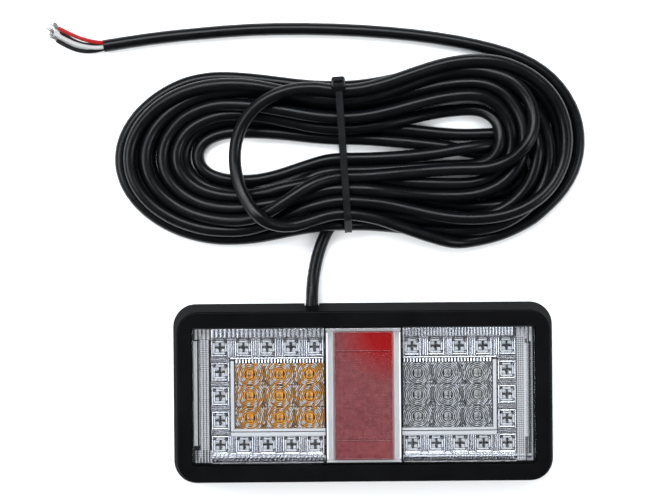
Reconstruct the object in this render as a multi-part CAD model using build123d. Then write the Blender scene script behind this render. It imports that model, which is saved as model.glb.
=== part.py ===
from build123d import *
import math
import os

# Trailer tail light, lying on its back, with its cable tied in a hank above it.
# Millimetres. Origin: centre of the lamp's back face. +Z: out of the lens. +X: along the lamp.
# +Y: towards the edge that the cable leaves from.

os.makedirs("parts", exist_ok=True)

# ---- driving dimensions ----
base_length, base_width, base_radius = 200.0, 94.5, 12.0  # the surround at the mounting surface
front_length, front_width, front_radius = 192.0, 87.5, 11.0  # the surround at its front face
depth = 28.0  # back face to front face
window_length, window_width, window_radius = 177.5, 71.0, 2.0  # the opening in the surround
bezel_wall = 2.0  # thickness of the surround
bezel_foot = 0.5  # gap between the surround's lower edge and the mounting surface
floor_wall = 2.4  # thickness of the housing's back plate
running_gap = 0.3  # between the surround and anything that it slides past
mount_spacing_x, mount_spacing_y, mount_hole_r = 124.0, 82.6, 2.25  # four screw holes
mount_boss_r, mount_boss_top = 3.2, 5.0

seal_z = 20.5  # top of the housing's rim
flange_z = 21.5  # underside of the lens's flange
flange_top = 23.5
lens_top = 27.4
lens_skin = 2.0

board_z, board_thickness = 10.2, 1.6
board_length, board_width = 172.0, 66.0
board_top = board_z + board_thickness
tray_z, tray_top = 13.0, 19.9  # the two reflector trays
optic_top = 22.0

array_pitch_x, array_pitch_y, array_centre_x = 15.4, 11.3, 43.4  # 3 x 3 lamps in each half
array_length, array_width = 47.5, 37.5
tail_pitch_x, tail_pitch_y, tail_edge_x = 12.25, 12.6, 74.2  # 13 lamps in a C in each half
tail_cell = 10.4
reflex_length, reflex_width = 30.3, 66.0
reflex_bottom = 22.8
backing_length = 38.6

cable_r = 3.25
exit_x, exit_z = -26.6, 6.3
conductor_r = 1.05
hank_height, lobe_height = 24.0, 17.0
tie_width, tie_thickness = 3.7, 1.2

# The cable's free stretches, each a hand-laid route on the floor.
lead_route = [
    (exit_x, 30.0, exit_z),
    (exit_x, 48.0, exit_z),
    (-26.2, 57.0, 4.0),
    (-24.9, 66.0, 3.3),
    (-22.4, 76.0, 3.3),
    (-18.6, 85.0, 3.3),
    (-12.5, 93.0, 3.3),
]
tail_route = [
    (56.0, 80.8, 3.3),
    (75.0, 83.5, 3.3),
    (92.0, 92.0, 3.3),
    (104.8, 104.0, 3.3),
    (112.8, 117.5, 3.3),
    (115.2, 132.5, 3.3),
    (112.4, 147.5, 3.3),
    (103.4, 162.5, 3.3),
    (88.8, 173.8, 3.3),
    (67.0, 181.4, 3.3),
    (36.0, 187.4, 3.3),
    (-5.0, 191.3, 3.3),
    (-52.0, 192.2, 3.3),
    (-90.0, 189.4, 3.3),
    (-114.0, 186.9, 3.3),
    (-135.0, 183.6, 3.3),
]
# Each conductor leaves the sheath's cut end and curls up and to the left.
conductor_routes = {
    "red": [
        (-133.0, 185.3, 4.6),
        (-140.0, 185.6, 5.2),
        (-147.0, 187.4, 5.6),
        (-153.5, 190.4, 5.4),
        (-158.6, 193.0, 5.0),
    ],
    "white": [
        (-133.0, 183.1, 4.4),
        (-140.5, 182.6, 4.2),
        (-148.0, 184.0, 4.0),
        (-155.0, 187.0, 3.8),
        (-161.0, 190.6, 3.6),
    ],
    "black": [
        (-133.0, 182.6, 2.4),
        (-140.0, 181.0, 2.0),
        (-147.0, 181.0, 1.6),
        (-154.0, 183.4, 1.4),
        (-160.0, 187.0, 1.4),
    ],
    "brown": [
        (-133.0, 184.8, 2.3),
        (-140.0, 184.2, 2.1),
        (-147.0, 184.9, 1.8),
        (-153.0, 187.6, 1.5),
        (-158.0, 191.6, 1.4),
    ],
}
tip_length, tip_r = 5.0, 0.8

# The hank's outer outline, seen from above, anticlockwise from its lower left.
hank_outline = [
    (-116.0, 95.0),
    (-95.0, 82.0),
    (-69.0, 78.8),
    (-32.0, 84.2),
    (-6.0, 87.4),
    (20.0, 83.8),
    (46.0, 77.8),
    (72.0, 82.0),
    (91.0, 96.0),
    (104.0, 113.0),
    (107.5, 133.0),
    (99.0, 158.0),
    (83.0, 171.0),
    (62.0, 175.2),
    (41.0, 173.4),
    (16.0, 168.4),
    (-8.0, 164.8),
    (-32.0, 163.8),
    (-68.0, 167.7),
    (-100.0, 164.0),
    (-119.0, 151.5),
    (-128.5, 131.0),
    (-126.5, 111.0),
]
left_void = [(-78.0, 124.0), (-52.0, 116.0), (-16.0, 125.0), (-24.0, 133.0), (-50.0, 136.5)]
right_void = [(27.0, 140.5), (48.0, 139.0), (69.0, 139.0), (73.0, 142.0), (60.0, 146.5), (42.0, 145.5)]
tie_x, tie_slant = -9.6, 3.5  # place along the hank, and its lean in degrees
tie_low_y, tie_high_y = 86.0, 166.2
tie_radius = 8.0  # how round the strap's corners are
waist_length, waist_width = 64.0, 110.0  # the stretch of the hank that the tie gathers higher
head_x, head_y = -11.9, 159.4
head_width, head_length, head_height = 6.9, 7.0, 4.2


def slab(length, width, z0, z1, radius=0.0, x=0.0, y=0.0):
    """A flat plate with round corners, from z0 to z1."""
    outline = RectangleRounded(length, width, radius) if radius else Rectangle(length, width)
    return Pos(x, y, z0) * extrude(outline, z1 - z0)


def tapered(length0, width0, radius0, z0, length1, width1, radius1, z1, x=0.0, y=0.0):
    """A block whose round-cornered outline changes from z0 to z1."""
    low = Pos(x, y, z0) * RectangleRounded(length0, width0, radius0)
    high = Pos(x, y, z1) * RectangleRounded(length1, width1, radius1)
    return loft([low, high])


def rod(radius, z0, z1, x=0.0, y=0.0):
    return Pos(x, y, z0) * extrude(Circle(radius), z1 - z0)


def join(pieces):
    """Several separate solids in one shape."""
    return Compound(children=list(pieces))


def save(name, shape):
    export_step(shape, f"parts/{name}.step")


def run_radii(points):
    """For each corner, the largest arc that its two runs allow."""
    radii = []
    for before, corner, after in zip(points, points[1:], points[2:]):
        into, out = Vector(corner) - Vector(before), Vector(after) - Vector(corner)
        turn = math.radians(into.get_angle(out))
        radii.append(0.45 * min(into.length, out.length) / math.tan(turn / 2))
    return radii


def tube(name, points, radius):
    """A round bar along straight runs joined by tangent arcs."""
    radii = run_radii(points)
    path = FilletPolyline(*points, radius=radii)
    start = Plane(origin=points[0], z_dir=Vector(points[1]) - Vector(points[0]))
    solid = sweep(start * Circle(radius), path=path)
    share = solid.volume / (math.pi * radius**2 * path.length)
    print(name, "length", round(path.length, 1), "radius", round(min(radii), 1), "share", round(share, 4))
    return solid


# ---- places of the light sources ----
array_offsets = [(i * array_pitch_x, j * array_pitch_y) for i in (-1, 0, 1) for j in (-1, 0, 1)]
tail_rows = [(-tail_edge_x + i * tail_pitch_x, side * 2 * tail_pitch_y) for i in range(5) for side in (-1, 1)]
tail_column = [(-tail_edge_x, j * tail_pitch_y) for j in (-1, 0, 1)]
tail_left = tail_rows + tail_column
board_screw_places = [(x, y) for x in (-82.5, 0.0, 82.5) for y in (-30.2, 30.2)]
clamp_screw_places = [(exit_x - 7.5, 30.5), (exit_x + 7.5, 30.5)]


def mirrored(places):
    return [(-x, y) for x, y in places]


# ---- housing ----
def rear_housing():
    """Back plate with screw bosses and the rim wall that the lens sits on."""
    plate = slab(base_length - 5.0, base_width - 5.0, 0, floor_wall, base_radius - 2.4)
    rim = slab(window_length + 4.9, window_width + 4.9, floor_wall, seal_z, 4.0)
    rim -= slab(window_length + 0.5, window_width + 0.5, floor_wall, seal_z, 2.0)
    body = plate + rim
    for x, y in board_screw_places:
        body += rod(2.7, floor_wall, board_z, x, y)
    for x in (-mount_spacing_x / 2, mount_spacing_x / 2):
        for y in (-mount_spacing_y / 2, mount_spacing_y / 2):
            body += rod(mount_boss_r, floor_wall, mount_boss_top, x, y)
            body -= rod(mount_hole_r, 0, mount_boss_top, x, y)
    for x, y in clamp_screw_places:
        body += rod(2.4, floor_wall, exit_z, x, y)
        body -= rod(1.05, floor_wall + 0.6, exit_z, x, y)
    for x, y in board_screw_places:
        body -= rod(1.15, 4.0, board_z, x, y)
    for x in (-54.0, 54.0):
        body += slab(60.0, 1.2, floor_wall, 5.4, 0, x, 0)
    # the saddle that the cable lies in, and the hole for its grommet
    body += slab(9.0, 5.0, floor_wall, exit_z - cable_r - 0.05, 0, exit_x, 30.5)
    body -= Pos(exit_x, 40.0, exit_z) * Rot(90, 0, 0) * Cylinder(4.3, 12.0)
    return body


def front_bezel():
    """The clip-on surround that hides the mounting screws, notched for the cable."""
    outer = tapered(
        base_length, base_width, base_radius, bezel_foot, front_length, front_width, front_radius, depth
    )
    outer = fillet(outer.edges().group_by(Axis.Z)[-1], 1.0)
    lip = depth - bezel_wall
    inner = tapered(
        base_length - 2 * bezel_wall,
        base_width - 2 * bezel_wall,
        base_radius - bezel_wall,
        bezel_foot,
        front_length - 2 * bezel_wall,
        front_width - 2 * bezel_wall,
        front_radius - bezel_wall,
        lip,
    )
    shell = outer - inner
    # the inner lip stands down to the lens's flange
    shell += slab(window_length + 4.0, window_width + 4.0, flange_top + running_gap, lip, 3.0)
    shell -= slab(window_length, window_width, flange_top, depth, window_radius)
    for x in (-80.0, -38.0, 0.0, 38.0, 80.0):
        for side in (-1, 1):
            # ribs that rest the surround on the back plate
            shell += slab(1.6, 3.6, floor_wall + running_gap, 12.0, 0, x, side * (base_width / 2 - 3.2))
    notch = slab(2 * cable_r + 1.6, 12.0, bezel_foot, exit_z, 0, exit_x, base_width / 2)
    notch += Pos(exit_x, base_width / 2, exit_z) * Rot(90, 0, 0) * Cylinder(cable_r + 0.8, 12.0)
    shell -= notch
    # a slot for the blade that prises the surround off
    shell -= slab(10.0, 8.0, bezel_foot, 2.0, 0, 40.0, -base_width / 2)
    return shell


def lens_seal():
    ring = slab(window_length + 4.4, window_width + 4.4, seal_z, flange_z, 3.8)
    return ring - slab(window_length + 1.0, window_width + 1.0, seal_z, flange_z, 2.2)


def outer_lens():
    """Clear cover: a flange on the seal, a low wall and a flat front."""
    length, width = window_length - 2 * running_gap, window_width - 2 * running_gap
    flange = slab(window_length + 4.4, window_width + 4.4, flange_z, flange_top, 3.8)
    dome = slab(length, width, flange_top, lens_top, window_radius)
    dome = fillet(dome.edges().group_by(Axis.Z)[-1], 0.8)
    hollow = slab(length - 2 * lens_skin, width - 2 * lens_skin, flange_z, lens_top - lens_skin, 1.2)
    return flange + dome - hollow


# ---- electronics ----
def circuit_board():
    board = slab(board_length, board_width, board_z, board_top, 2.0)
    for x, y in board_screw_places:
        board -= rod(1.3, board_z, board_top, x, y)
    return board


def led(x, y):
    """One surface-mount lamp: a square package with a low dome."""
    package = slab(3.4, 3.4, board_top, board_top + 1.0, 0.3, x, y)
    dome = Pos(x, y, board_top + 0.4) * Sphere(1.45)
    return package + (dome & slab(3.2, 3.2, board_top + 1.0, board_top + 3.0, 0, x, y))


def leds(places):
    return join(led(x, y) for x, y in places)


def resistors():
    """Two rows in each half, on the board's underside."""
    places = [(side * (20.0 + 4.6 * i), y) for side in (-1, 1) for i in range(6) for y in (-20.4, 20.4)]
    return join(slab(3.2, 1.6, board_z - 0.6, board_z, 0, x, y) for x, y in places)


def regulator_chips():
    return join(slab(6.0, 5.0, board_z - 1.6, board_z, 0, x, -8.0) for x in (-9.0, 9.0))


def input_diodes():
    return join(slab(4.3, 2.6, board_z - 2.1, board_z, 0, x, 6.0) for x in (-8.0, 0.0, 8.0))


def screw(radius, head_r, head_height, z_head, length, x, y):
    """A pan-head screw with a cross recess."""
    shank = rod(radius, z_head - length, z_head, x, y)
    head = rod(head_r, z_head, z_head + head_height, x, y)
    head = fillet(head.edges().group_by(Axis.Z)[-1], head_height * 0.35)
    recess = slab(head_r * 1.2, 0.5, z_head + head_height * 0.45, z_head + head_height, 0, x, y)
    recess += slab(0.5, head_r * 1.2, z_head + head_height * 0.45, z_head + head_height, 0, x, y)
    return shank + head - recess


# ---- optics ----
def reflector_tray(side):
    """Metallised tray: a square funnel over each tail lamp and a window for the 3 x 3 array."""
    outer_x, inner_x = window_length / 2 - 0.2, 20.0
    centre = side * (outer_x + inner_x) / 2
    tray = slab(outer_x - inner_x, window_width - 0.6, tray_z, tray_top, 1.0, centre)
    tray -= slab(array_length, array_width, tray_z, tray_top, 1.0, side * array_centre_x)
    for x, y in tail_left:
        tray -= tapered(5.0, 5.0, 0.4, tray_z, tail_cell, tail_cell, 0.8, tray_top, side * abs(x), y)
    return tray


def array_optic(side):
    """Nine ring lenses in one clear plate that hangs in the tray's window."""
    length, width = array_length - 0.4, array_width - 0.4
    plate = slab(length, width, tray_top - 1.6, optic_top - 1.2, 0.9, side * array_centre_x)
    for dx, dy in array_offsets:
        x = side * array_centre_x + dx
        plate += rod(5.0, optic_top - 1.2, optic_top - 0.6, x, dy)
        plate += rod(2.6, optic_top - 0.6, optic_top, x, dy)
    return plate


def tail_optic(side):
    """Clear C-shaped plate with a square pillow lens over each tail lamp."""
    outer_x, inner_x = window_length / 2 - 2.6, 20.0
    plate_low, plate_high = tray_top, optic_top - 0.7
    centre = side * (outer_x + inner_x) / 2
    plate = slab(outer_x - inner_x, window_width - 5.2, plate_low, plate_high, 1.0, centre)
    inner_end, cut_end = 10.0, array_centre_x + array_length / 2 + 0.1
    cut_centre = side * (cut_end + inner_end) / 2
    plate -= slab(cut_end - inner_end, array_width + 0.2, plate_low, plate_high, 0, cut_centre)
    for x, y in tail_left:
        place = (side * abs(x), y)
        plate += slab(8.6, 8.6, plate_high, optic_top, 0.6, *place)
    return plate


def reflector_backing():
    base = slab(backing_length, reflex_width, tray_top, tray_top + 1.3, 0.8)
    inner = slab(reflex_length - 1.2, reflex_width - 1.2, tray_top + 1.3, reflex_bottom, 0.6)
    inner -= slab(reflex_length - 4.0, reflex_width - 4.0, tray_top + 1.3, reflex_bottom, 0.4)
    return base + inner


def reflex_reflector():
    return slab(reflex_length, reflex_width, reflex_bottom, lens_top - lens_skin, 0.6)


# ---- cable entry ----
def cable_grommet():
    """Soft ring in the rim wall, gripped by a groove."""
    wall_in, wall_out = window_width / 2 + 0.25, window_width / 2 + 2.45

    def ring(radius, y0, y1):
        return Pos(exit_x, (y0 + y1) / 2, exit_z) * Rot(90, 0, 0) * Cylinder(radius, y1 - y0)

    body = ring(4.25, wall_in, wall_out) + ring(5.6, wall_out, wall_out + 1.6)
    body -= ring(cable_r + 0.03, wall_in - 4, wall_out + 6)
    return body - slab(20, 20, -5, floor_wall, 0, exit_x, wall_out)


def cable_clamp():
    """A strap over the cable, on two posts."""
    strap = slab(20.0, 5.0, exit_z, exit_z + 1.2, 0.6, exit_x, 30.5)
    over = Pos(exit_x, 30.5, exit_z) * Rot(90, 0, 0) * Cylinder(cable_r + 0.4, 5.0)
    over &= slab(9.0, 6.0, exit_z, board_z - 0.15, 0, exit_x, 30.5)
    clamp = strap + over
    clamp -= Pos(exit_x, 30.5, exit_z) * Rot(90, 0, 0) * Cylinder(cable_r + 0.03, 8.0)
    for x, y in clamp_screw_places:
        clamp -= rod(1.25, exit_z, exit_z + 1.2, x, y)
    return clamp


def inner_leads():
    """The four cores between the cable's inner end and the board's underside."""
    cores = []
    for i, (dx, dz) in enumerate([(-1.2, 1.2), (1.2, 1.2), (-1.2, -1.2), (1.2, -1.2)]):
        x = exit_x + dx
        points = [
            (x, 30.0, exit_z + dz),
            (x, 25.5, exit_z + dz),
            (x + 1.8 * (i - 1.5), 21.0, exit_z + dz * 0.6),
            (x + 3.2 * (i - 1.5), 16.5, exit_z + 1.6),
            (x + 3.4 * (i - 1.5), 13.0, board_z - 0.9),
        ]
        cores.append(tube(f"inner_lead_{i}", points, 0.85))
    return join(cores)


# ---- cable, hank and tie ----
def outline_block(points, z0, z1):
    """A block with a smooth closed outline."""
    edge = Spline(*points, periodic=True)
    return Pos(0, 0, z0) * extrude(make_face(edge), z1 - z0)


def tie_ring(low_y, high_y, top, radius, width):
    """A closed band across the hank, filled, standing on the floor."""
    band = extrude(Plane.YZ * RectangleRounded(high_y - low_y, top, radius), width / 2, both=True)
    return Pos(tie_x, (low_y + high_y) / 2, top / 2) * Rot(0, 0, tie_slant) * band


def tied_core(width):
    """What the strap closes round."""
    low_y, high_y = tie_low_y + tie_thickness, tie_high_y - tie_thickness
    return Pos(0, 0, tie_thickness) * tie_ring(low_y, high_y, hank_height, tie_radius - tie_thickness, width)


def cable_tie_strap():
    outer = tie_ring(tie_low_y, tie_high_y, hank_height + 2 * tie_thickness, tie_radius, tie_width)
    return outer - tied_core(tie_width + 2)


def cable_hank():
    """The hank's outer shape, with the strap's space taken out."""
    lobes = outline_block(hank_outline, 0, lobe_height)
    waist_top, waist_y = hank_height + tie_thickness, (tie_low_y + tie_high_y) / 2
    waist = outline_block(hank_outline, 0, waist_top)
    waist &= slab(waist_length, waist_width, 0, waist_top, 0, tie_x, waist_y)
    hank = lobes + waist
    hank -= outline_block(left_void, 0, hank_height + 2)
    hank -= outline_block(right_void, 0, hank_height + 2)
    space = tie_ring(tie_low_y - 6, tie_high_y + 6, hank_height + 12, tie_radius, tie_width)
    return hank - (space - tied_core(tie_width))


def cable_tie_head():
    """A block on the strap, with a slot along its top and the strap's cut end standing out."""
    z = hank_height + 2 * tie_thickness
    head = slab(head_width, head_length, z, z + head_height, 0.8, head_x, head_y)
    head = fillet(head.edges().group_by(Axis.Z)[-1], 0.6)
    head += slab(tie_width, 2.4, z + 1.4, z + 1.4 + tie_thickness, 0, head_x, head_y + head_length / 2 + 0.5)
    return head - slab(tie_width + 0.3, 3.0, z + 3.0, z + head_height, 0, head_x, head_y)


def conductor_tips():
    tips = []
    for points in conductor_routes.values():
        end, before = Vector(points[-1]), Vector(points[-2])
        way = (end - before).normalized()
        tips.append(extrude(Plane(origin=end, z_dir=way) * Circle(tip_r), tip_length))
    return join(tips)


save("rear_housing", rear_housing())
save("front_bezel", front_bezel())
save("lens_seal", lens_seal())
save("outer_lens", outer_lens())
save("circuit_board", circuit_board())
save("turn_leds", leds([(-array_centre_x + dx, dy) for dx, dy in array_offsets]))
save("stop_leds", leds([(array_centre_x + dx, dy) for dx, dy in array_offsets]))
save("tail_leds_left", leds(tail_left))
save("tail_leds_right", leds(mirrored(tail_left)))
save("resistors", resistors())
save("regulator_chips", regulator_chips())
save("input_diodes", input_diodes())
save("board_screws", join(screw(1.1, 2.2, 1.1, board_top, 6.5, x, y) for x, y in board_screw_places))
save("left_reflector_tray", reflector_tray(-1))
save("right_reflector_tray", reflector_tray(1))
save("turn_optic", array_optic(-1))
save("stop_optic", array_optic(1))
save("tail_optic_left", tail_optic(-1))
save("tail_optic_right", tail_optic(1))
save("reflector_backing", reflector_backing())
save("reflex_reflector", reflex_reflector())
save("cable_grommet", cable_grommet())
save("cable_clamp", cable_clamp())
save("clamp_screws", join(screw(1.0, 1.9, 1.3, exit_z + 1.2, 4.2, x, y) for x, y in clamp_screw_places))
save("inner_leads", inner_leads())
save("cable_lead", tube("cable_lead", lead_route, cable_r))
save("cable_tail", tube("cable_tail", tail_route, cable_r))
save("cable_tie_strap", cable_tie_strap())
save("cable_hank", cable_hank())
save("cable_tie_head", cable_tie_head())
for colour, route in conductor_routes.items():
    save(f"conductor_{colour}", tube(f"conductor_{colour}", route, conductor_r))
save("conductor_tips", conductor_tips())
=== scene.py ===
import bpy
import math
import numpy as np
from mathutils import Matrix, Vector


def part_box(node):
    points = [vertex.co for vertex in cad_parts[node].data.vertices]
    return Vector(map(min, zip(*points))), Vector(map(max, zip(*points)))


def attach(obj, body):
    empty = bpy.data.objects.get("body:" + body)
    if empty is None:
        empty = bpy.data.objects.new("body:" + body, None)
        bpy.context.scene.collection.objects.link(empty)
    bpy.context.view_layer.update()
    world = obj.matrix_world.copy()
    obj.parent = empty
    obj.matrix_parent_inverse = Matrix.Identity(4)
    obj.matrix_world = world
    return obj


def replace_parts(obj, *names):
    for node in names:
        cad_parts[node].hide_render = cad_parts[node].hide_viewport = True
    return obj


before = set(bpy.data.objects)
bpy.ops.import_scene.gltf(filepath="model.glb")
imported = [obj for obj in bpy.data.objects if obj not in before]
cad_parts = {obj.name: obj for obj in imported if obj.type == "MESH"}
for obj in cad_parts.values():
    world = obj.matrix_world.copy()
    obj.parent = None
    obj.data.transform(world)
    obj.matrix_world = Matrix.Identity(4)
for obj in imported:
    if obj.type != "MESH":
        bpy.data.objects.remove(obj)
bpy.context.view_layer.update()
MM = 0.001  # the routes below are in millimetres, as part.py has them, times MM

# ---------------------------------------------------------------- cable: values
CABLE_R = 3.25 * MM
CABLE_D = 2 * CABLE_R
LEAD_ROUTE = [
    (-0.0266, 0.0300, 0.0063),
    (-0.0266, 0.0480, 0.0063),
    (-0.0262, 0.0570, 0.0040),
    (-0.0249, 0.0660, 0.0033),
    (-0.0224, 0.0760, 0.0033),
    (-0.0186, 0.0850, 0.0033),
    (-0.0125, 0.0930, 0.0033),
]
TAIL_ROUTE = [
    (0.0560, 0.0808, 0.0033),
    (0.0750, 0.0835, 0.0033),
    (0.0920, 0.0920, 0.0033),
    (0.1048, 0.1040, 0.0033),
    (0.1128, 0.1175, 0.0033),
    (0.1152, 0.1325, 0.0033),
    (0.1124, 0.1475, 0.0033),
    (0.1034, 0.1625, 0.0033),
    (0.0888, 0.1738, 0.0033),
    (0.0670, 0.1814, 0.0033),
    (0.0360, 0.1874, 0.0033),
    (-0.0050, 0.1913, 0.0033),
    (-0.0520, 0.1922, 0.0033),
    (-0.0900, 0.1894, 0.0033),
    (-0.1140, 0.1869, 0.0033),
    (-0.1350, 0.1836, 0.0033),
]
# One row for each turn of the hank, in the order it was wound, in millimetres: where it passes the tie
# below, the right lobe's bottom, furthest and top, the tie above, and the left lobe's top, furthest
# and bottom.
TURNS = [
    (112.0, 103.5, 86.0, 128.5, 134.8, 141.5, -86.8, 110.0),
    (121.8, 128.0, 98.0, 160.5, 148.0, 150.0, -100.0, 100.0),
    (106.0, 97.0, 93.0, 134.0, 139.5, 145.5, -93.5, 105.0),
    (100.5, 90.0, 104.0, 169.5, 159.8, 164.6, -126.6, 82.8),
    (89.8, 84.4, 98.5, 164.5, 154.0, 159.5, -119.0, 88.0),
    (96.0, 91.0, 91.0, 157.5, 146.0, 154.5, -111.5, 94.0),
    (117.5, 119.0, 74.6, 148.5, 139.5, 147.0, -97.0, 103.0),
    (110.5, 108.5, 79.5, 155.5, 144.0, 151.5, -104.0, 97.0),
    (105.5, 103.5, 84.5, 162.0, 150.0, 157.0, -113.0, 91.5),
    (112.5, 117.0, 89.6, 168.0, 153.0, 161.0, -121.5, 86.0),
    (102.5, 90.8, 107.0, 172.4, 157.0, 159.0, -65.8, 88.0),
]
TIE_X = -9.6
RIGHT_LOBE = (46.0, 58.0)  # where the right lobe's round end starts, below and above
LEFT_LOBE = (-68.0, -66.0)  # above and below
ROUND_END = 1.25  # a narrow lobe's round end is at most this many times as long as half its width
LOOP_LOBE = (-26.0, -40.0)  # the last turn's small loop on the left
LAST_LOW = 94.3  # where the tail passes the tie below
STACK = 5.0  # each turn is first laid this much above the one before
WAY_IN = [(-7.6, 99.5, 3.3), (-1.0, 106.5, 3.3)]  # from the lead into the first turn
WAY_IN_TURN = 5  # points of the first turn that the way in takes the place of
WAY_OUT = [(4.0, 93.5, 45.0), (22.0, 87.0, 35.0), (38.0, 82.5, 22.0)]  # from the last turn into the tail
NODE_STEP = 5.0
ROUNDS = 700
TIE_THICKNESS = 1.2
TIE_LIFT = 18.0  # how far along the hank the strap under it lifts it
PULL = 0.08  # how strongly each turn keeps its place, seen from above
TIGHTEST = 12.0  # a fold of a smaller radius is eased as it settles, though the innermost stay tighter


# ---------------------------------------------------------------- cable: the hank
def run(x0, y0, x1, y1, count=14):
    """A gentle S from one end of a run to the other."""
    t = np.arange(count) / count
    return np.column_stack([x0 + (x1 - x0) * t, y0 + (y1 - y0) * (1 - np.cos(math.pi * t)) / 2])


def bend(x0, y0, far, x1, y1, count=40, square=1.0):
    """A lobe's round end, from (x0, y0) out to far and back to (x1, y1); squarer below 1."""
    t = np.arange(count) / count
    angle = math.pi * (t - 0.5)
    middle_x = x0 + (x1 - x0) * t
    x = middle_x + (far - middle_x) * np.cos(angle) ** square
    return np.column_stack([x, (y0 + y1) / 2 + (y1 - y0) / 2 * np.sin(angle)])


def laid_turns():
    """The hank as it is first laid: every turn in its place seen from above, stacked in order."""
    pieces, per_turn = [], []
    for i, (low, right_low, right_far, right_high, high, left_high, left_far, left_low) in enumerate(TURNS):
        last = i == len(TURNS) - 1
        next_low = LAST_LOW if last else TURNS[i + 1][0]
        left = LOOP_LOBE if last else LEFT_LOBE
        rounded = right_far - ROUND_END * (right_high - right_low) / 2
        below, above = max(RIGHT_LOBE[0], rounded), max(RIGHT_LOBE[1], rounded)
        turn = [
            run(TIE_X, low, below, right_low),
            bend(below, right_low, right_far, above, right_high, square=0.86),
            run(above, right_high, TIE_X, high),
            run(TIE_X, high, left[0], left_high),
            bend(left[0], left_high, left_far, left[1], left_low, square=0.94),
            run(left[1], left_low, TIE_X, next_low),
        ]
        pieces += turn
        per_turn.append(sum(len(piece) for piece in turn))
    flat = np.vstack(pieces)
    starts = np.cumsum([0] + per_turn)
    height = CABLE_R / MM + STACK * np.interp(np.arange(len(flat)), starts, np.arange(len(starts)))
    return np.column_stack([flat, height])


def smooth(points, count=12):
    """Points along the open quadratic spline that has these control points."""
    c = np.array(points, float)
    t = np.linspace(0, 1, count, endpoint=False)[:, None]
    parts = []
    for i in range(len(c) - 2):
        start = c[0] if i == 0 else (c[i] + c[i + 1]) / 2
        end = c[-1] if i == len(c) - 3 else (c[i + 1] + c[i + 2]) / 2
        parts.append((1 - t) ** 2 * start + 2 * t * (1 - t) * c[i + 1] + t * t * end)
    return np.vstack(parts + [c[-1:]])


def even(points, step):
    """The same line with its points a step apart."""
    along = np.r_[0, np.cumsum(np.linalg.norm(np.diff(points, axis=0), axis=1))]
    places = np.linspace(0, along[-1], int(round(along[-1] / step)) + 1)
    return np.column_stack([np.interp(places, along, points[:, k]) for k in range(3)])


def nearest_on(p, dp, q, dq):
    """How far along two lists of segments, 0 to 1, they come closest."""
    r = p - q
    a, e, b = (dp * dp).sum(1), (dq * dq).sum(1), (dp * dq).sum(1)
    c, f = (dp * r).sum(1), (dq * r).sum(1)
    s = np.clip((b * f - c * e) / np.maximum(a * e - b * b, 1e-9), 0, 1)
    t = np.clip((b * s + f) / e, 0, 1)
    return np.clip((b * t - c) / a, 0, 1), t


def bending(offset, reach):
    """How much each point's offset differs from its neighbours' smooth line."""
    r = reach
    stiff = np.zeros_like(offset)
    middle = offset[2 * r : -2 * r]
    near = offset[r : -3 * r] + offset[3 * r : -r]
    far = offset[: -4 * r] + offset[4 * r :]
    stiff[2 * r : -2 * r] = far - 4 * near + 6 * middle
    return stiff


def settle(points, held, rounds):
    """Drops the laid turns until they rest on the floor and on each other, a diameter apart."""
    p, home = points.copy(), points.copy()
    free = (~held).astype(float)[:, None]
    loose = np.minimum(free[:-1], free[1:]) + 1e-6
    apart = CABLE_D / MM
    step = np.linalg.norm(np.diff(p, axis=0), axis=1).mean()
    skip = int(math.ceil(1.7 * apart / step))
    allowed = step**2 / 2 / TIGHTEST
    for k in range(rounds):
        ease = 1 - k / rounds
        if k % 8 == 0:
            middle = (p[:-1] + p[1:]) / 2
            square = ((middle[:, None, :] - middle[None, :, :]) ** 2).sum(-1)
            i, j = np.argwhere(np.triu(square < (apart + step + 2.5) ** 2, skip)).T
        s, t = nearest_on(p[i], p[i + 1] - p[i], p[j], p[j + 1] - p[j])
        gap = p[i] + (p[i + 1] - p[i]) * s[:, None] - p[j] - (p[j + 1] - p[j]) * t[:, None]
        distance = np.linalg.norm(gap, axis=1)
        hit = distance < apart
        s, t, first, second = s[hit], t[hit], i[hit], j[hit]
        push = gap[hit] * ((apart - distance[hit]) / np.maximum(distance[hit], 1e-6))[:, None]
        yields = loose[first] / (loose[first] + loose[second])
        move, count = np.zeros_like(p), np.zeros(len(p))
        for index, share, way in (
            (first, 1 - s, yields),
            (first + 1, s, yields),
            (second, 1 - t, yields - 1),
            (second + 1, t, yields - 1),
        ):
            np.add.at(move, index, push * share[:, None] * way)
            np.add.at(count, index, share)
        p += 1.6 * move / np.maximum(count, 1)[:, None] * free
        p[:, :2] += (PULL * ease + 0.02) * (home[:, :2] - p[:, :2]) * free
        p[:, 2] -= (0.12 * ease + 0.002) * free[:, 0]
        for reach in (1, 3):
            p -= (0.04 * ease + 0.01) * bending((p - home) * (1, 1, 0), reach) * free
        turn = np.zeros_like(p)
        turn[1:-1] = (p[:-2] + p[2:]) / 2 - p[1:-1]
        sharp = np.maximum(np.linalg.norm(turn, axis=1), 1e-9)
        turn *= np.clip(1 - allowed / sharp, 0, 1)[:, None] * free
        p += 0.5 * turn
        p[:-1] -= 0.25 * turn[1:] * free[:-1]
        p[1:] -= 0.25 * turn[:-1] * free[1:]
        level = np.zeros(len(p))
        level[1:-1] = (p[:-2, 2] + p[2:, 2]) / 2 - p[1:-1, 2]
        p[:, 2] += 0.15 * level * free[:, 0]
        lift = TIE_THICKNESS * np.exp(-(((p[:, 0] - TIE_X) / TIE_LIFT) ** 2)) * free[:, 0]
        p[:, 2] = np.maximum(p[:, 2], apart / 2 + lift)
    return p


def length_of(points):
    return np.linalg.norm(np.diff(points, axis=0), axis=1).sum()


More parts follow.
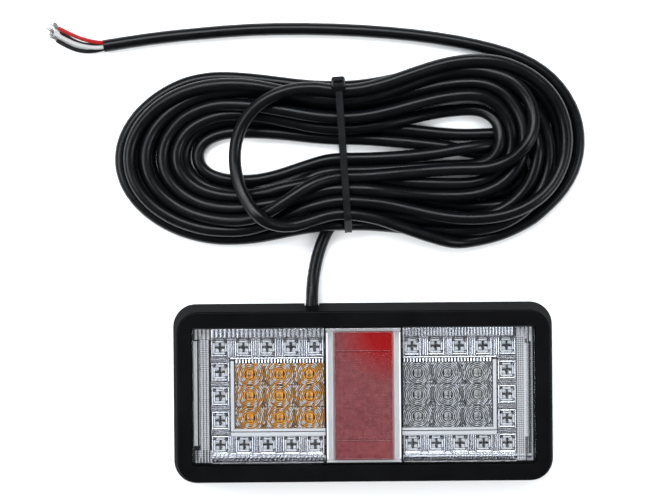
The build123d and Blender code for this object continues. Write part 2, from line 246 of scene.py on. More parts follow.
def laid_cable():
    """The whole cable as it is first laid, in millimetres, and which of its points are held in place."""
    lead_route, tail_route = np.array(LEAD_ROUTE) / MM, np.array(TAIL_ROUTE) / MM
    turns = laid_turns()[WAY_IN_TURN:]
    lead = smooth(np.vstack([lead_route, WAY_IN, turns[:1]]))[:-1]
    tail = smooth(np.vstack([turns[-1:], WAY_OUT, tail_route]))[1:]
    line = even(np.vstack([lead, turns, tail]), NODE_STEP)
    along = NODE_STEP * np.arange(len(line))
    held_lead = along < length_of(smooth(lead_route)) - 8
    held_tail = along > along[-1] - length_of(smooth(tail_route[2:])) + 6
    held = held_lead | held_tail
    return line, held


def cable_points():
    """Control points of the whole cable: the lead's route, the settled turns and the tail's route."""
    line, held = laid_cable()
    settled = settle(line, held, ROUNDS)
    coil = settled[~held][1:-1] * MM
    return np.vstack([LEAD_ROUTE[:-1], coil, TAIL_ROUTE[3:]])


def spline_piece(name, points, radius, rings=10, resolution=3):
    """A round cord on one smooth NURBS spline."""
    curve = bpy.data.curves.new(name, "CURVE")
    curve.dimensions = "3D"
    curve.bevel_depth = radius
    curve.bevel_resolution = rings
    curve.resolution_u = resolution
    curve.use_fill_caps = True
    line = curve.splines.new("NURBS")
    line.points.add(len(points) - 1)
    for point, place in zip(line.points, points):
        point.co = (*place, 1.0)
    line.order_u = 3
    line.use_endpoint_u = True
    piece = bpy.data.objects.new(name, curve)
    bpy.context.scene.collection.objects.link(piece)
    return piece


def simple(name, colour, roughness=0.5, metallic=0.0):
    material = bpy.data.materials.new(name)
    material.use_nodes = True
    shader = material.node_tree.nodes["Principled BSDF"]
    shader.inputs["Base Color"].default_value = (*colour, 1)
    shader.inputs["Roughness"].default_value = roughness
    shader.inputs["Metallic"].default_value = metallic
    return material


# ---------------------------------------------------------------- materials
class Nodes:
    """A short way to wire one material's nodes."""

    def __init__(self, name):
        self.material = bpy.data.materials.new(name)
        self.material.use_nodes = True
        self.tree = self.material.node_tree
        self.shader = self.tree.nodes["Principled BSDF"]
        self.output = self.tree.nodes["Material Output"]
        self.place = self.add("ShaderNodeTexCoord").outputs["Object"]

    def add(self, kind, **settings):
        node = self.tree.nodes.new(kind)
        for key, value in settings.items():
            setattr(node, key, value)
        return node

    def link(self, source, target):
        self.tree.links.new(source, target)

    def noise(self, scale, detail=3.0):
        """Noise with this many waves in a metre."""
        texture = self.add("ShaderNodeTexNoise")
        texture.inputs["Scale"].default_value = scale
        texture.inputs["Detail"].default_value = detail
        self.link(self.place, texture.inputs["Vector"])
        return texture.outputs["Fac"]

    def spread(self, fac, low, high):
        """The middle of a noise stretched to a range of values."""
        ranged = self.add("ShaderNodeMapRange")
        ranged.inputs["From Min"].default_value = 0.3
        ranged.inputs["From Max"].default_value = 0.7
        ranged.inputs["To Min"].default_value = low
        ranged.inputs["To Max"].default_value = high
        self.link(fac, ranged.inputs["Value"])
        return ranged.outputs["Result"]

    def blend(self, fac, first, second):
        mix = self.add("ShaderNodeMix", data_type="RGBA")
        mix.inputs["A"].default_value = (*first, 1)
        mix.inputs["B"].default_value = (*second, 1)
        self.link(fac, mix.inputs["Factor"])
        return mix.outputs["Result"]

    def bump(self, height, strength, depth):
        node = self.add("ShaderNodeBump")
        node.inputs["Strength"].default_value = strength
        node.inputs["Distance"].default_value = depth
        self.link(height, node.inputs["Height"])
        self.link(node.outputs["Normal"], self.shader.inputs["Normal"])


def moulded(
    name, dark, light, rough, grain=900.0, depth=0.00006, metallic=0.0, specular=0.5, coat=0.0, glow=0.0
):
    """Moulded plastic, rubber or metal: mottled colour, uneven gloss and a fine grain."""
    n = Nodes(name)
    blotch = n.noise(55.0, 4.0)
    n.link(n.blend(n.spread(blotch, 0.0, 1.0), dark, light), n.shader.inputs["Base Color"])
    n.link(n.spread(n.noise(170.0), *rough), n.shader.inputs["Roughness"])
    n.shader.inputs["Metallic"].default_value = metallic
    n.shader.inputs["Specular IOR Level"].default_value = specular
    n.shader.inputs["Coat Weight"].default_value = coat
    n.shader.inputs["Coat Roughness"].default_value = 0.3
    # glow makes the part give off light in its lighter colour: painted light, used where a part should look
    # brighter than the light reaching it makes it
    if glow:
        n.shader.inputs["Emission Color"].default_value = (*light, 1)
        n.shader.inputs["Emission Strength"].default_value = glow
    n.bump(n.noise(grain, 4.0), 0.35, depth)
    return n.material


def clear(name, tint):
    """Clear plastic that lets light through to what lies under it."""
    n = Nodes(name)
    glass = n.add("ShaderNodeBsdfGlass")
    glass.inputs["IOR"].default_value = 1.49
    paler = tuple(min(1.0, c * 1.03) for c in tint)
    n.link(n.blend(n.spread(n.noise(60.0), 0.0, 1.0), tint, paler), glass.inputs["Color"])
    n.link(n.spread(n.noise(300.0), 0.0, 0.02), glass.inputs["Roughness"])
    through = n.add("ShaderNodeBsdfTransparent")
    through.inputs["Color"].default_value = (*tint, 1)
    path = n.add("ShaderNodeLightPath")
    mix = n.add("ShaderNodeMixShader")
    n.link(path.outputs["Is Shadow Ray"], mix.inputs["Fac"])
    n.link(glass.outputs[0], mix.inputs[1])
    n.link(through.outputs[0], mix.inputs[2])
    n.link(mix.outputs[0], n.output.inputs["Surface"])
    return n.material


def skin(name):
    """The flat cover: seen straight through a little dimmed, with a shine on its outer side only."""
    n = Nodes(name)
    colour = n.blend(n.spread(n.noise(40.0), 0.0, 1.0), (0.9, 0.91, 0.93), (0.97, 0.98, 1.0))
    n.link(colour, n.shader.inputs["Base Color"])
    n.shader.inputs["Metallic"].default_value = 1.0
    n.link(n.spread(n.noise(220.0), 0.03, 0.07), n.shader.inputs["Roughness"])
    through = n.add("ShaderNodeBsdfTransparent")
    through.inputs["Color"].default_value = (0.775, 0.78, 0.788, 1)
    rim = n.add("ShaderNodeFresnel")
    rim.inputs["IOR"].default_value = 1.49
    mix = n.add("ShaderNodeMixShader")
    turned = n.add("ShaderNodeNewGeometry")
    outer = n.add("ShaderNodeMath", operation="SUBTRACT", use_clamp=True)
    n.link(rim.outputs[0], outer.inputs[0])
    n.link(turned.outputs["Backfacing"], outer.inputs[1])
    n.link(outer.outputs[0], mix.inputs["Fac"])
    n.link(through.outputs[0], mix.inputs[1])
    n.link(n.shader.outputs[0], mix.inputs[2])
    n.link(mix.outputs[0], n.output.inputs["Surface"])
    return n.material


black_plastic = moulded("black_plastic", (0.010, 0.010, 0.011), (0.017, 0.017, 0.018), (0.42, 0.58))
bezel_plastic = moulded(
    "bezel_plastic",
    (0.0024, 0.0024, 0.0026),
    (0.0038, 0.0038, 0.0040),
    (0.34, 0.46),
    1500.0,
    0.00003,
    specular=0.0,
    coat=0.05,
)
sheath = moulded(
    "cable_sheath",
    (0.0010, 0.0013, 0.0017),
    (0.0018, 0.0022, 0.0028),
    (0.26, 0.36),
    700.0,
    0.00003,
    specular=0.20,
)
tie_nylon = moulded(
    "tie_nylon",
    (0.0028, 0.0032, 0.0040),
    (0.0046, 0.0051, 0.0062),
    (0.34, 0.48),
    1200.0,
    0.00003,
    specular=0.20,
)
seal_rubber = moulded("seal_rubber", (0.012, 0.012, 0.012), (0.02, 0.02, 0.02), (0.6, 0.75))
board_laminate = moulded("board_laminate", (0.012, 0.016, 0.015), (0.02, 0.026, 0.024), (0.35, 0.5))
metallised = moulded(
    "metallised_plastic", (0.86, 0.87, 0.90), (0.94, 0.945, 0.96), (0.10, 0.22), 600.0, 0.00002, metallic=1.0
)
# Painted light: the white plastic glows faintly (glow=0.14), so the pale parts under the cover look brighter
# than the light reaching them makes them.
white_plastic = moulded(
    "white_plastic", (0.84, 0.85, 0.86), (0.92, 0.92, 0.92), (0.3, 0.45), 800.0, 0.00003, glow=0.14
)
# Painted light: the lights are not switched on, yet both glow (amber 0.9, clear 0.3) so they look brighter
# than the light reaching them makes them.
amber_led = moulded("amber_led", (1.0, 0.34, 0.012), (1.0, 0.46, 0.03), (0.2, 0.35), glow=0.9)
clear_led = moulded("clear_led", (0.88, 0.87, 0.80), (0.95, 0.95, 0.90), (0.2, 0.35), glow=0.3)
chip_plastic = moulded("chip_plastic", (0.02, 0.02, 0.021), (0.03, 0.03, 0.03), (0.4, 0.55))
ceramic_chip = moulded("ceramic_chip", (0.10, 0.09, 0.08), (0.16, 0.14, 0.12), (0.35, 0.5))
screw_steel = moulded("screw_steel", (0.45, 0.45, 0.46), (0.62, 0.62, 0.62), (0.25, 0.4), metallic=1.0)
tinned_copper = moulded(
    "tinned_copper", (0.09, 0.09, 0.085), (0.25, 0.245, 0.23), (0.25, 0.4), 2500.0, 0.00005, metallic=0.9
)
MATT = (0.34, 0.46)  # the roughness of the conductors' insulation, lowest and highest
cores = {
    "red": moulded("red_insulation", (0.20, 0.003, 0.004), (0.26, 0.005, 0.006), MATT, specular=0.12),
    "white": moulded("white_insulation", (0.27, 0.27, 0.265), (0.33, 0.33, 0.325), MATT, specular=0.2),
    "black": moulded("black_insulation", (0.002, 0.002, 0.002), (0.004, 0.004, 0.004), MATT, specular=0.12),
    "brown": moulded("brown_insulation", (0.020, 0.008, 0.005), (0.032, 0.012, 0.008), MATT, specular=0.12),
}
lead_cores = moulded("core_insulation", (0.22, 0.06, 0.05), (0.34, 0.10, 0.08), (0.35, 0.5))
clear_cover = skin("clear_lens")
clear_optic = clear("clear_optic", (0.97, 0.975, 0.985))
amber_optic = clear("amber_optic", (0.985, 0.975, 0.96))


# ---------------------------------------------------------------- meshes
def mesh_piece(name, vertices, faces, material, body="lamp", smooth=False):
    """A new piece from vertices in millimetres; it rides on a body and takes the material it is given."""
    mesh = bpy.data.meshes.new(name)
    mesh.from_pydata([tuple(c * MM for c in v) for v in vertices], [], faces)
    mesh.validate()
    mesh.polygons.foreach_set("use_smooth", [smooth] * len(mesh.polygons))
    mesh.materials.append(material)
    piece = bpy.data.objects.new(name, mesh)
    bpy.context.scene.collection.objects.link(piece)
    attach(piece, body)
    return piece


class Shape:
    """Gathers closed lumps into one mesh."""

    def __init__(self):
        self.vertices, self.faces = [], []

    def add(self, vertices, faces):
        start = len(self.vertices)
        self.vertices += [tuple(v) for v in vertices]
        self.faces += [tuple(i + start for i in face) for face in faces]

    def sweep(self, profile, start, end, along):
        """A closed profile, (across, up) anticlockwise, drawn from start to end along x or y."""
        count = len(profile)
        for place in (start, end):
            for across, up in profile:
                self.vertices.append((place, across, up) if along == "x" else (across, place, up))
        first = len(self.vertices) - 2 * count
        for k in range(count):
            after = (k + 1) % count
            self.faces.append((first + k, first + after, first + count + after, first + count + k))
        self.faces.append(tuple(first + k for k in range(count - 1, -1, -1)))
        self.faces.append(tuple(first + count + k for k in range(count)))

    def block(self, x0, x1, y0, y1, z0, z1, bevel=0.0):
        """A box with its top edges cut back."""
        low = [(x0, y0, z0), (x1, y0, z0), (x1, y1, z0), (x0, y1, z0)]
        b = bevel
        rings = [low]
        if b:
            rings.append([(x, y, z1 - b) for x, y, z in low])
            left, right, near, far = x0 + b, x1 - b, y0 + b, y1 - b
            rings.append([(left, near, z1), (right, near, z1), (right, far, z1), (left, far, z1)])
        else:
            rings.append([(x, y, z1) for x, y, z in low])
        self.lathe_rings(rings)

    def lathe_rings(self, rings):
        """A closed lump through a stack of rings with the same number of points."""
        count = len(rings[0])
        vertices = [v for ring in rings for v in ring]
        faces = [tuple(range(count - 1, -1, -1))]
        for level in range(len(rings) - 1):
            for k in range(count):
                a, b = level * count + k, level * count + (k + 1) % count
                faces.append((a, b, b + count, a + count))
        faces.append(tuple((len(rings) - 1) * count + k for k in range(count)))
        self.add(vertices, faces)

    def funnel(self, x, y, low_half, high_half, z0, z1, wall):
        """A square funnel with thin walls, open at both ends."""
        corners = [(-1, -1), (1, -1), (1, 1), (-1, 1)]
        rings = []
        for (half_x, half_y), z, extra in (
            (low_half, z0, wall),
            (high_half, z1, wall),
            (high_half, z1, 0.0),
            (low_half, z0, 0.0),
        ):
            rings.append([(x + i * (half_x + extra), y + j * (half_y + extra), z) for i, j in corners])
        vertices = [v for ring in rings for v in ring]
        faces = []
        for level in range(4):
            for k in range(4):
                a, b = level * 4 + k, level * 4 + (k + 1) % 4
                c, d = (level + 1) % 4 * 4 + (k + 1) % 4, (level + 1) % 4 * 4 + k
                faces.append((a, b, c, d))
        self.add(vertices, faces)

    def piece(self, name, material, slot, smooth=False):
        return mesh_piece(name, self.vertices, self.faces, material, smooth=smooth)


def box_mm(node):
    low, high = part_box(node)
    return np.array(low) / MM, np.array(high) / MM


def half_round(centre, radius, base, height, count=8, down=False):
    """The outline of a half-round bar that stands on base, or hangs from it."""
    sign = -1 if down else 1
    angles = [math.pi * k / count for k in range(count + 1)]
    points = [(centre + radius * math.cos(a), base + sign * height * math.sin(a)) for a in angles]
    return points if not down else points[::-1]


# ---------------------------------------------------------------- lamp: places from the frame
_, lens_high = box_mm("outer_lens")
_, tray_high = box_mm("right_reflector_tray")
_, optic_high = box_mm("stop_optic")
stop_low, stop_high = box_mm("stop_leds")
tail_low, tail_high = box_mm("tail_leds_right")
reflex_low, reflex_high = box_mm("reflex_reflector")
backing_low, backing_high = box_mm("reflector_backing")
PACKAGE = 3.4  # a light's square package
ARRAY_X = (stop_low[0] + stop_high[0]) / 2
PITCH_X = (stop_high[0] - stop_low[0] - PACKAGE) / 2
PITCH_Y = (stop_high[1] - stop_low[1] - PACKAGE) / 2
TAIL_X = tail_high[0] - PACKAGE / 2
TAIL_STEP = (tail_high[0] - tail_low[0] - PACKAGE) / 4
TAIL_Y = tail_high[1] - PACKAGE / 2
WINDOW_X = lens_high[0] - 2.5  # the clear cover's own edge, inside its flange
WINDOW_Y = lens_high[1] - 2.5
SKIN_Z = lens_high[2] - 2.0  # the cover's underside
BOARD_TOP = stop_low[2]
TRAY_TOP = tray_high[2]
OPTIC_TOP = optic_high[2]
tail_places = [(TAIL_X - i * TAIL_STEP, s * TAIL_Y) for i in range(5) for s in (-1, 1)]
tail_places += [(TAIL_X, j * TAIL_Y / 2) for j in (-1, 0, 1)]


# ---------------------------------------------------------------- lamp: ring lenses
INDEX = 1.49  # how strongly clear plastic bends light
RING_INNER = 2.5  # the rings start outside four small cushions
RING_PITCH = 0.92
RING_SWELL = 0.2
RING_STEPS = 6
RING_SIDES = 72
FOCUS = 8.5  # from the ring lens down to the lights


def ring_slope(radius):
    """The slope that bends light from the source straight up."""
    sine = math.sin(math.atan2(radius, FOCUS))
    return min(sine / (math.sqrt(INDEX**2 - sine**2) - 1), 1.0)


def ring_lens(shape, x, y, half_x, half_y, base, top):
    """One cell: stepped rings round its centre, cut to the cell's rectangle."""
    reach = math.hypot(half_x, half_y)
    profile = [(0.0, top - 0.6), (RING_INNER, top - 0.6)]
    for ring in range(int((reach - RING_INNER) / RING_PITCH) + 1):
        inner = RING_INNER + ring * RING_PITCH
        slope = ring_slope(inner + RING_PITCH / 2)
        for k in range(RING_STEPS):
            t = k / (RING_STEPS - 1)
            height = slope * RING_PITCH * (0.5 - t) * 0.9 + RING_SWELL * math.sin(math.pi * t)
            profile.append((inner + t * 0.94 * RING_PITCH, top - 0.5 + height))
    angles = [2 * math.pi * k / RING_SIDES for k in range(RING_SIDES)]
    edge = [min(half_x / max(abs(math.cos(a)), 1e-6), half_y / max(abs(math.sin(a)), 1e-6)) for a in angles]
    vertices = [(x, y, profile[0][1])]
    for radius, height in profile[1:]:
        for angle, limit in zip(angles, edge):
            r = min(radius, limit)
            z = height if radius < limit else top - 0.42
            vertices.append((x + r * math.cos(angle), y + r * math.sin(angle), z))
    for angle, limit in zip(angles, edge):
        vertices.append((x + limit * math.cos(angle), y + limit * math.sin(angle), base))
    levels, faces = len(profile) - 1, []
    for k in range(RING_SIDES):
        after = (k + 1) % RING_SIDES
        faces.append((0, 1 + k, 1 + after))
        for level in range(levels):
            a, b = 1 + level * RING_SIDES + k, 1 + level * RING_SIDES + after
            faces.append((a, a + RING_SIDES, b + RING_SIDES, b))
    last = 1 + levels * RING_SIDES
    faces.append(tuple(last + k for k in range(RING_SIDES - 1, -1, -1)))
    shape.add(vertices, faces)
    for i in (-0.5, 0.5):
        for j in (-0.5, 0.5):
            half = RING_INNER * 0.70 / 2
            pillow(shape, x + i * half * 2.1, y + j * half * 2.1, half, half, top - 0.55, 0.55)


def array_optic(side, name, node, material, slot):
    """Nine ring lenses side by side in their window."""
    shape = Shape()
    for i in (-1, 0, 1):
        for j in (-1, 0, 1):
            x, y = side * ARRAY_X + i * PITCH_X, j * PITCH_Y
            ring_lens(shape, x, y, PITCH_X / 2 - 0.03, PITCH_Y / 2 - 0.03, TRAY_TOP - 1.6, OPTIC_TOP)
    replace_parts(shape.piece(name, material, slot), node)


def array_cups(side, name):
    """A square metallised funnel round each light, and a row of ribs along the window's edges."""
    shape = Shape()
    for i in (-1, 0, 1):
        for j in (-1, 0, 1):
            x, y = side * ARRAY_X + i * PITCH_X, j * PITCH_Y
            inner, outer = PACKAGE / 2 + 0.6, (PITCH_X * 0.45, PITCH_Y * 0.45)
            shape.funnel(x, y, (inner, inner), outer, BOARD_TOP + 0.5, TRAY_TOP - 2.4, 0.4)
    count = 28
    step = PITCH_X * 3 / count
    for k in range(count):
        x = side * ARRAY_X + (k - (count - 1) / 2) * step
        rib = half_round(x, step * 0.40, TRAY_TOP - 0.4, 1.6)
        shape.sweep(rib, PITCH_Y * 1.5 + 0.1, optic_high[1] + 0.3, "y")
    shape.piece(name, metallised, "metallised_plastic")


# ---------------------------------------------------------------- lamp: tail optics
def pillow(shape, x, y, half_x, half_y, base, height, count=7):
    """One small cushion-shaped lens."""
    size = count - 1
    grid = []
    for j in range(count):
        for i in range(count):
            u, v = 2 * i / size - 1, 2 * j / size - 1
            grid.append((x + half_x * u, y + half_y * v, base + height * (2 - u * u - v * v) / 2))
    faces = []
    for j in range(size):
        for i in range(size):
            a = j * count + i
            faces.append((a, a + 1, a + count + 1, a + count))
    rim = list(range(count))
    rim += [j * count + size for j in range(1, count)]
    rim += [size * count + i for i in range(size - 1, -1, -1)]
    rim += [j * count for j in range(size - 1, 0, -1)]
    start = len(grid)
    under = [(grid[k][0], grid[k][1], base - 0.5) for k in rim]
    for k in range(len(rim)):
        after = (k + 1) % len(rim)
        faces.append((rim[after], rim[k], start + k, start + after))
    faces.append(tuple(start + k for k in range(len(rim) - 1, -1, -1)))
    shape.add(grid + under, faces)


CELL = 9.6  # a tail light's cell, outside its frame
LENSLET = 2.5


def tail_optic(side, name, node):
    """A clear piece: over each light four small cushions in a flat frame."""
    shape = Shape()
    low = TRAY_TOP + 0.4
    for x, y in tail_places:
        x = side * x
        for i in (-0.5, 0.5):
            for j in (-0.5, 0.5):
                half = LENSLET / 2 - 0.02
                pillow(shape, x + i * LENSLET, y + j * LENSLET, half, half, low + 0.5, 0.75)
        for s in (-1, 1):
            reach = LENSLET + 0.7
            shape.sweep(half_round(x + s * (LENSLET + 0.4), 0.34, low, 1.1), y - reach, y + reach, "y")
            shape.sweep(half_round(y + s * (LENSLET + 0.4), 0.34, low, 1.1), x - LENSLET, x + LENSLET, "x")
    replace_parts(shape.piece(name, clear_optic, "clear_optic"), node)


def tail_frames(side, name):
    """Metallised steps round each tail light: a ridge and a slope, with fine ribs between the cells."""
    shape = Shape()
    half, wall = CELL / 2, 1.15
    for x, y in tail_places:
        x = side * x
        for s in (-1, 1):
            ridge = half_round(x + s * (half - wall / 2), wall / 2, TRAY_TOP - 0.3, 1.7)
            shape.sweep(ridge, y - half, y + half, "y")
            ridge = half_round(y + s * (half - wall / 2), wall / 2, TRAY_TOP - 0.3, 1.4)
            shape.sweep(ridge, x - half + wall, x + half - wall, "x")
        mouth = (half - wall + 0.1, half - wall + 0.1)
        shape.funnel(x, y, (2.7, 2.7), mouth, TRAY_TOP - 0.9, TRAY_TOP + 0.2, 0.3)
    for i in range(4):
        for s in (-1, 1):
            for k in (-1, 0, 1):
                x = side * (TAIL_X - (i + 0.5) * TAIL_STEP) + k * 0.85
                y = s * TAIL_Y
                shape.sweep(half_round(x, 0.3, TRAY_TOP - 0.1, 0.7, 6), y - half, y + half, "y")
    x0, x1 = sorted((side * (TAIL_X - half), side * (TAIL_X + half)))
    for j in (-1.5, -0.5, 0.5, 1.5):
        for k in (-1, 0, 1):
            y = j * TAIL_Y / 2 + k * 0.95
            shape.sweep(half_round(y, 0.34, TRAY_TOP - 0.1, 0.8, 6), x0, x1, "x")
    shape.piece(name, metallised, "metallised_plastic")


def tail_glints(side, name):
    """Painted highlights: white blocks that stand for bright glints in each tail cell, four in the middle,
    and bars along its sides, longer on the left and lower ones.
    """
    shape = Shape()
    half, spot = CELL / 2, 0.55
    for x, y in tail_places:
        x = side * x
        for i in (-1, 1):
            for j in (-1, 1):
                cx, cy = x + i * 1.5, y + j * 1.5
                shape.block(cx - spot, cx + spot, cy - spot, cy + spot, TRAY_TOP - 0.5, TRAY_TOP + 0.1, 0.25)
        for s, length in ((-1, 2.9), (1, 2.2)):
            cx = x + s * (half - 1.75)
            shape.block(cx - 0.4, cx + 0.4, y - length, y + length - 0.6, TRAY_TOP + 0.2, TRAY_TOP + 1.4, 0.2)
            cy = y + s * (half - 1.75)
            low, high = TRAY_TOP + 0.2, TRAY_TOP + 1.3
            shape.block(x - length, x + length - 0.4, cy - 0.36, cy + 0.36, low, high, 0.2)
    shape.piece(name, white_plastic, "white_plastic")


def tail_crosses(side, name):
    """Painted shade: a dark cross between the four glints of each tail cell, and a dark spot outside each
    glint, where the clear optic looks dark.
    """
    shape = Shape()
    low, high, arm, reach = TRAY_TOP - 0.7, TRAY_TOP + 0.15, 0.72, 2.6
    for x, y in tail_places:
        x = side * x
        shape.block(x - reach, x + reach, y - arm, y + arm, low, high, 0.15)
        shape.block(x - arm, x + arm, y - reach, y - arm, low, high, 0.15)
        shape.block(x - arm, x + arm, y + arm, y + reach, low, high, 0.15)
        for i in (-1, 1):
            for j in (-1, 1):
                cx, cy = x + i * 2.5, y + j * 2.5
                shape.block(cx - 0.4, cx + 0.4, cy - 0.4, cy + 0.4, low, high, 0.1)
    shape.piece(name, chip_plastic, "chip_plastic")


def arc(shape, x, y, radius, width, start, end, z0, z1, half_x, half_y):
    """A flat arc, in short lengths, left out where it would pass the cell's edge."""
    count = max(1, int(round((end - start) / (2 * math.pi / RING_SIDES))))
    for k in range(count):
        t0, t1 = start + (end - start) * k / count, start + (end - start) * (k + 1) / count
        corners = []
        for r, t in ((radius - width, t0), (radius + width, t0), (radius + width, t1), (radius - width, t1)):
            corners.append((r * math.cos(t), r * math.sin(t)))
        if all(abs(cx) < half_x and abs(cy) < half_y for cx, cy in corners):
            shape.lathe_rings([[(x + cx, y + cy, z) for cx, cy in corners] for z in (z0, z1)])


def ring_edges(side, name):
    """Painted shade: dark rings where the draft of each step of the ring lenses looks dark, and a short dark
    bar either side of each cell's middle.
    """
    shape = Shape()
    top = OPTIC_TOP - 0.95
    for i in (-1, 0, 1):
        for j in (-1, 0, 1):
            x, y = side * ARRAY_X + i * PITCH_X, j * PITCH_Y
            for ring in range(7):
                radius = RING_INNER + ring * RING_PITCH
                limits = (PITCH_X / 2 - 0.2, PITCH_Y / 2 - 0.2)
                arc(shape, x, y, radius, 0.16, 0.0, 2 * math.pi, top - 0.3, top, *limits)
            for s in (-1, 1):
                bar = x + s * 1.9
                shape.block(bar - 0.25, bar + 0.25, y - 1.3, y + 1.3, top - 0.3, top - 0.05, 0.08)
    shape.piece(name, chip_plastic, "chip_plastic")


def ring_glints(side, name):
    """Painted highlights: bright stretches of the rings, shorter and more of them further out, and thin
    bright slivers along the top of each row of cells.
    """
    shape = Shape()
    top = OPTIC_TOP - 0.9
    for i in (-1, 0, 1):
        for j in (-1, 0, 1):
            x, y = side * ARRAY_X + i * PITCH_X, j * PITCH_Y
            limits = (PITCH_X / 2 - 0.1, PITCH_Y / 2 - 0.1)
            for ring in range(1, 7):
                radius = RING_INNER + (ring + 0.45) * RING_PITCH
                parts = 4 + 2 * (ring % 3)
                for k in range(parts):
                    start = 2 * math.pi * (k + 0.37 * ring + 0.2 * (i + j)) / parts
                    stretch = math.pi * (0.75 + 0.25 * math.sin(2.1 * k + ring)) / parts
                    arc(shape, x, y, radius, 0.25, start, start + stretch, top - 0.25, top, *limits)
    for i in (-1.5, -0.5, 0.5):
        for k in (-1, 0, 1):
            x = side * ARRAY_X + i * PITCH_X + 0.8 * k
            for j in (-1.5, -0.5, 0.5):
                y = j * PITCH_Y + PITCH_Y * 0.99
                if abs(x - side * ARRAY_X) < 1.5 * PITCH_X:
                    shape.block(x - 0.14, x + 0.14, y - 1.3, y, top - 0.3, top, 0.05)
    shape.piece(name, white_plastic, "white_plastic")


# ---------------------------------------------------------------- lamp: ribs round the margins
def margin_ribs(side, name):
    """Metallised bars and ribs on the tray's top, all round its edge."""
    shape = Shape()
    edge_x, edge_y = WINDOW_X - 1.0, WINDOW_Y - 0.6
    top = TRAY_TOP
    bar = 2.2 if side < 0 else 1.6
    first = backing_high[0] + 1.6
    for k in range(int((TAIL_X + 4.0 - first) / bar) + 1):
        x = side * (first + k * bar)
        shape.sweep(half_round(x, bar * 0.40, top - 0.1, bar * 0.55), edge_y - 4.2, edge_y, "y")
        short = half_round(x, bar * 0.30, top - 0.1, bar * 0.35)
        shape.sweep(short, TAIL_Y + CELL / 2 + 0.2, edge_y - 4.6, "y")
        pillow(shape, x, -edge_y + 2.5, bar * 0.42, 1.1, top + 0.3, 0.9, 5)
    for y in (-edge_y + 0.5, -edge_y + 4.6, TAIL_Y - CELL / 2 - 0.9, -TAIL_Y + CELL / 2 + 0.9):
        x0, x1 = sorted((side * first, side * (TAIL_X + 4.0)))
        if abs(y) < TAIL_Y:
            x0, x1 = sorted((side * first, side * (TAIL_X - CELL / 2 - 0.5)))
        shape.sweep(half_round(y, 0.45, top - 0.1, 0.9), x0, x1, "x")
    shape.piece(name, metallised, "metallised_plastic")


def margin_painted_shade(side, name):
    """Painted shade: a dark plate under the small squares at the tray's end, so the gaps between them look
    dark.
    """
    shape = Shape()
    edge_x, edge_y = WINDOW_X - 0.8, WINDOW_Y - 0.6
    x0, x1 = sorted((side * (TAIL_X + 5.0), side * (edge_x - (0.0 if side < 0 else 4.6))))
    shape.block(x0, x1, -edge_y, edge_y - 5.4, TRAY_TOP, TRAY_TOP + 0.15, 0.02)
    shape.piece(name, chip_plastic, "chip_plastic")


def pale_marks(side, name):
    """Pale blocks at the tray's end: a bar, small squares and steps into the corners."""
    shape = Shape()
    edge_x, edge_y = WINDOW_X - 0.8, WINDOW_Y - 0.6
    top = TRAY_TOP
    bar_x = edge_x - 0.6 if side < 0 else edge_x - 3.2
    bar_y = (-edge_y + 9.0, edge_y - 6.0) if side < 0 else (-edge_y + 12.5, edge_y - 8.5)
    x0, x1 = sorted((side * (bar_x - 1.0), side * (bar_x + 1.0)))
    shape.block(x0, x1, *bar_y, top, top + 1.6, 0.35)
    square = 1.1
    for k in range(int(2 * edge_y / square)):
        y = -edge_y + (k + 0.5) * square
        columns = [edge_x - 0.6] if side > 0 else []
        columns += [TAIL_X + 5.6 + square * i for i in range(4)] if side > 0 else []
        if side < 0 and y < edge_y - 5.6:
            columns = [edge_x - 0.8 - 1.55 * i for i in range(6 if k < 6 else 5)][0 if k < 6 else 2 :]
        for x in columns:
            reach = square * 0.40
            wide = reach if side > 0 or k < 6 else 0.6
            shape.block(side * x - wide, side * x + wide, y - reach, y + reach, top, top + 0.8, 0.2)
    for k in range(4):
        x = side * (edge_x - 1.0 - k * 2.1)
        reach = 7.4 - 1.3 * k if side > 0 else 5.2
        shape.block(x - 0.62, x + 0.62, edge_y - reach, edge_y, top, top + 1.7, 0.4)
    if side > 0:
        for k in range(3):
            x = edge_x - 2.0 - k * 3.4
            shape.block(x - 1.3, x + 1.3, -edge_y + 0.2, -edge_y + 1.2, top, top + 1.5, 0.3)
            shape.block(x - 1.3, x + 1.3, -edge_y + 2.6, -edge_y + 3.4, top, top + 1.5, 0.3)
    shape.piece(name, white_plastic, "white_plastic")


def cover_prisms():
    """Clear ridges moulded under the cover along its edges."""
    shape = Shape()
    outer_x, outer_y = WINDOW_X - 0.6, WINDOW_Y - 0.6
    first = backing_high[0] + 1.6
    for side in (-1, 1):
        for y in (-outer_y + 0.9, -outer_y + 4.4, outer_y - 5.2):
            x0, x1 = sorted((side * first, side * (TAIL_X + 4.0)))
            shape.sweep(half_round(y, 0.5, SKIN_Z, 0.7, 6, down=True), x0, x1, "x")
        ridge = half_round(side * (outer_x - 3.6), 0.6, SKIN_Z, 0.9, 6, down=True)
        shape.sweep(ridge, -outer_y + 3, outer_y - 3, "y")
    shape.piece("lens_prisms", clear_optic, "clear_lens")


def array_borders():
    """Pale walls round each array's window and beside the red panel."""
    shape = Shape()
    top = TRAY_TOP + 1.9
    for side in (-1, 1):
        wall = side * (optic_high[0] + 0.9)
        half = optic_high[1] + 0.2
        shape.block(wall - 0.9, wall + 0.9, -half + 0.6, half - 0.8, TRAY_TOP, top, 0.3)
        x0, x1 = sorted((side * (backing_high[0] + 0.6), wall + side * 0.75))
        shape.block(x0, x1, -half - 2.0, -half - 0.2, TRAY_TOP, top - 0.3, 0.25)
        shape.block(x0, x1, -half + 0.4, -PITCH_Y * 1.5 - 0.15, TRAY_TOP - 1.0, top - 0.6, 0.25)
    shape.piece("array_borders", white_plastic, "white_plastic")


